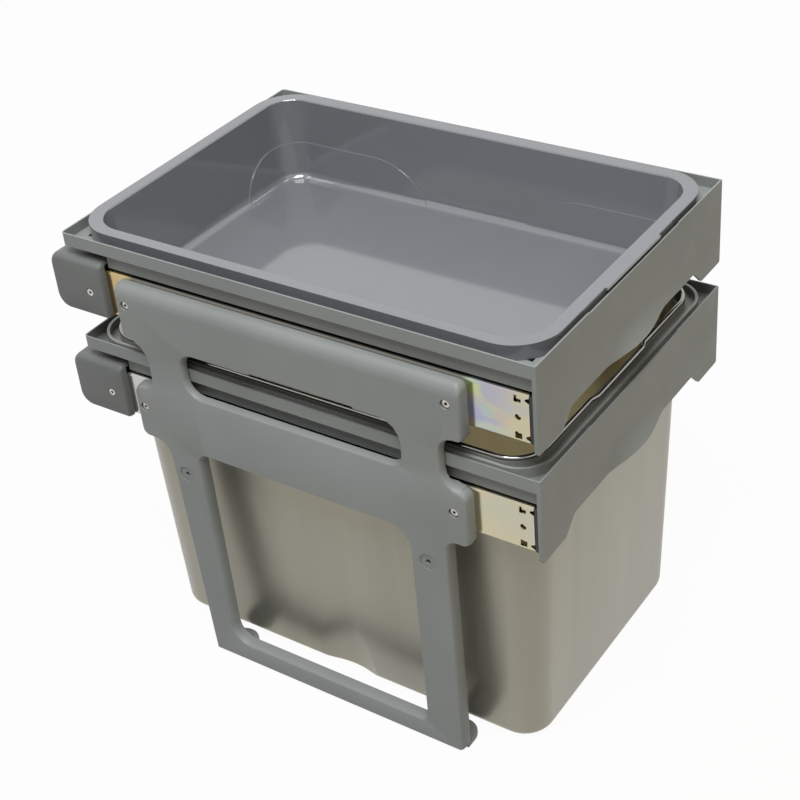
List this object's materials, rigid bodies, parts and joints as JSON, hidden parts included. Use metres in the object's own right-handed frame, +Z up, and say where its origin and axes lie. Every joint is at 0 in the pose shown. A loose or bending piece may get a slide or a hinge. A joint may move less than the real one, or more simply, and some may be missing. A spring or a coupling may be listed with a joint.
{
  "type": "pull out bin frame",
  "caption": "Floor-standing pull out for a kitchen base cabinet: two side brackets carry ball slides with a tray frame above and a bin frame below.",
  "frame": {"origin": "centre of the overall box at floor level", "axes": "+X to the right bracket, -Y the way the drawers pull out, +Z up from the floor"},
  "size_m": [0.34, 0.4976, 0.441],
  "materials": {
    "grey_moulding": "satin moulded grey",
    "housing_grey": "satin moulded dark grey",
    "tray_grey": "smooth glossy grey",
    "bin_silver": "metallic beige silver, satin gloss",
    "zinc_yellow": "yellow passivated zinc plate",
    "zinc_bright": "bright zinc plate",
    "chrome_wire": "bright chrome plate",
    "ball_steel": "polished steel",
    "black_plastic": "matt black",
    "buffer_rubber": "matt black"
  },
  "bodies": {
    "base": {"left_bracket": "grey_moulding", "right_bracket": "grey_moulding", "upper_left_cabinet_member": "zinc_yellow", "upper_right_cabinet_member": "zinc_yellow", "lower_left_cabinet_member": "zinc_yellow", "lower_right_cabinet_member": "zinc_yellow", "upper_left_rear_housing": "housing_grey", "upper_right_rear_housing": "housing_grey", "lower_left_rear_housing": "housing_grey", "lower_right_rear_housing": "housing_grey", "rear_buffers": "buffer_rubber", "bracket_screws": "zinc_bright", "housing_screws": "zinc_bright"},
    "upper_drawer": {"upper_frame": "grey_moulding", "upper_left_drawer_member": "zinc_yellow", "upper_right_drawer_member": "zinc_yellow", "upper_rivets": "zinc_bright"},
    "upper_middle": {"upper_left_middle_member": "zinc_yellow", "upper_right_middle_member": "zinc_yellow", "upper_bumpers": "black_plastic"},
    "upper_outer_cages": {"upper_left_outer_cage": "zinc_bright", "upper_right_outer_cage": "zinc_bright", "upper_outer_balls": "ball_steel"},
    "upper_inner_cages": {"upper_left_inner_cage": "zinc_bright", "upper_right_inner_cage": "zinc_bright", "upper_inner_balls": "ball_steel"},
    "lower_drawer": {"lower_frame": "grey_moulding", "lower_left_drawer_member": "zinc_yellow", "lower_right_drawer_member": "zinc_yellow", "lower_rivets": "zinc_bright"},
    "lower_middle": {"lower_left_middle_member": "zinc_yellow", "lower_right_middle_member": "zinc_yellow", "lower_bumpers": "black_plastic"},
    "lower_outer_cages": {"lower_left_outer_cage": "zinc_bright", "lower_right_outer_cage": "zinc_bright", "lower_outer_balls": "ball_steel"},
    "lower_inner_cages": {"lower_left_inner_cage": "zinc_bright", "lower_right_inner_cage": "zinc_bright", "lower_inner_balls": "ball_steel"},
    "tray": {"tray": "tray_grey"},
    "bin": {"bin": "bin_silver"},
    "bag_ring": {"bag_ring": "chrome_wire"}
  },
  "joints": [
    {"name": "upper_pull", "type": "slide", "parent": "base", "child": "upper_drawer", "axis": [0, -1, 0], "range_m": [0, 0.43]},
    {"name": "upper_middle_travel", "type": "slide", "parent": "base", "child": "upper_middle", "axis": [0, -1, 0], "range_m": [0, 0.215]},
    {"name": "upper_outer_cages_travel", "type": "slide", "parent": "base", "child": "upper_outer_cages", "axis": [0, -1, 0], "range_m": [0, 0.1075]},
    {"name": "upper_inner_cages_travel", "type": "slide", "parent": "base", "child": "upper_inner_cages", "axis": [0, -1, 0], "range_m": [0, 0.3225]},
    {"name": "lower_pull", "type": "slide", "parent": "base", "child": "lower_drawer", "axis": [0, -1, 0], "range_m": [0, 0.43]},
    {"name": "lower_middle_travel", "type": "slide", "parent": "base", "child": "lower_middle", "axis": [0, -1, 0], "range_m": [0, 0.215]},
    {"name": "lower_outer_cages_travel", "type": "slide", "parent": "base", "child": "lower_outer_cages", "axis": [0, -1, 0], "range_m": [0, 0.1075]},
    {"name": "lower_inner_cages_travel", "type": "slide", "parent": "base", "child": "lower_inner_cages", "axis": [0, -1, 0], "range_m": [0, 0.3225]},
    {"name": "tray_lift", "type": "slide", "parent": "upper_drawer", "child": "tray", "axis": [0, 0, 1], "range_m": [0, 0.1]},
    {"name": "bin_lift", "type": "slide", "parent": "lower_drawer", "child": "bin", "axis": [0, 0, 1], "range_m": [0, 0.012]},
    {"name": "ring_lift", "type": "slide", "parent": "bin", "child": "bag_ring", "axis": [0, 0, 1], "range_m": [0, 0.009]}
  ],
  "couplings": [
    {"joint": "upper_middle_travel", "follows": "upper_pull", "ratio": 0.5},
    {"joint": "upper_outer_cages_travel", "follows": "upper_pull", "ratio": 0.25},
    {"joint": "upper_inner_cages_travel", "follows": "upper_pull", "ratio": 0.75},
    {"joint": "lower_middle_travel", "follows": "lower_pull", "ratio": 0.5},
    {"joint": "lower_outer_cages_travel", "follows": "lower_pull", "ratio": 0.25},
    {"joint": "lower_inner_cages_travel", "follows": "lower_pull", "ratio": 0.75}
  ]
}
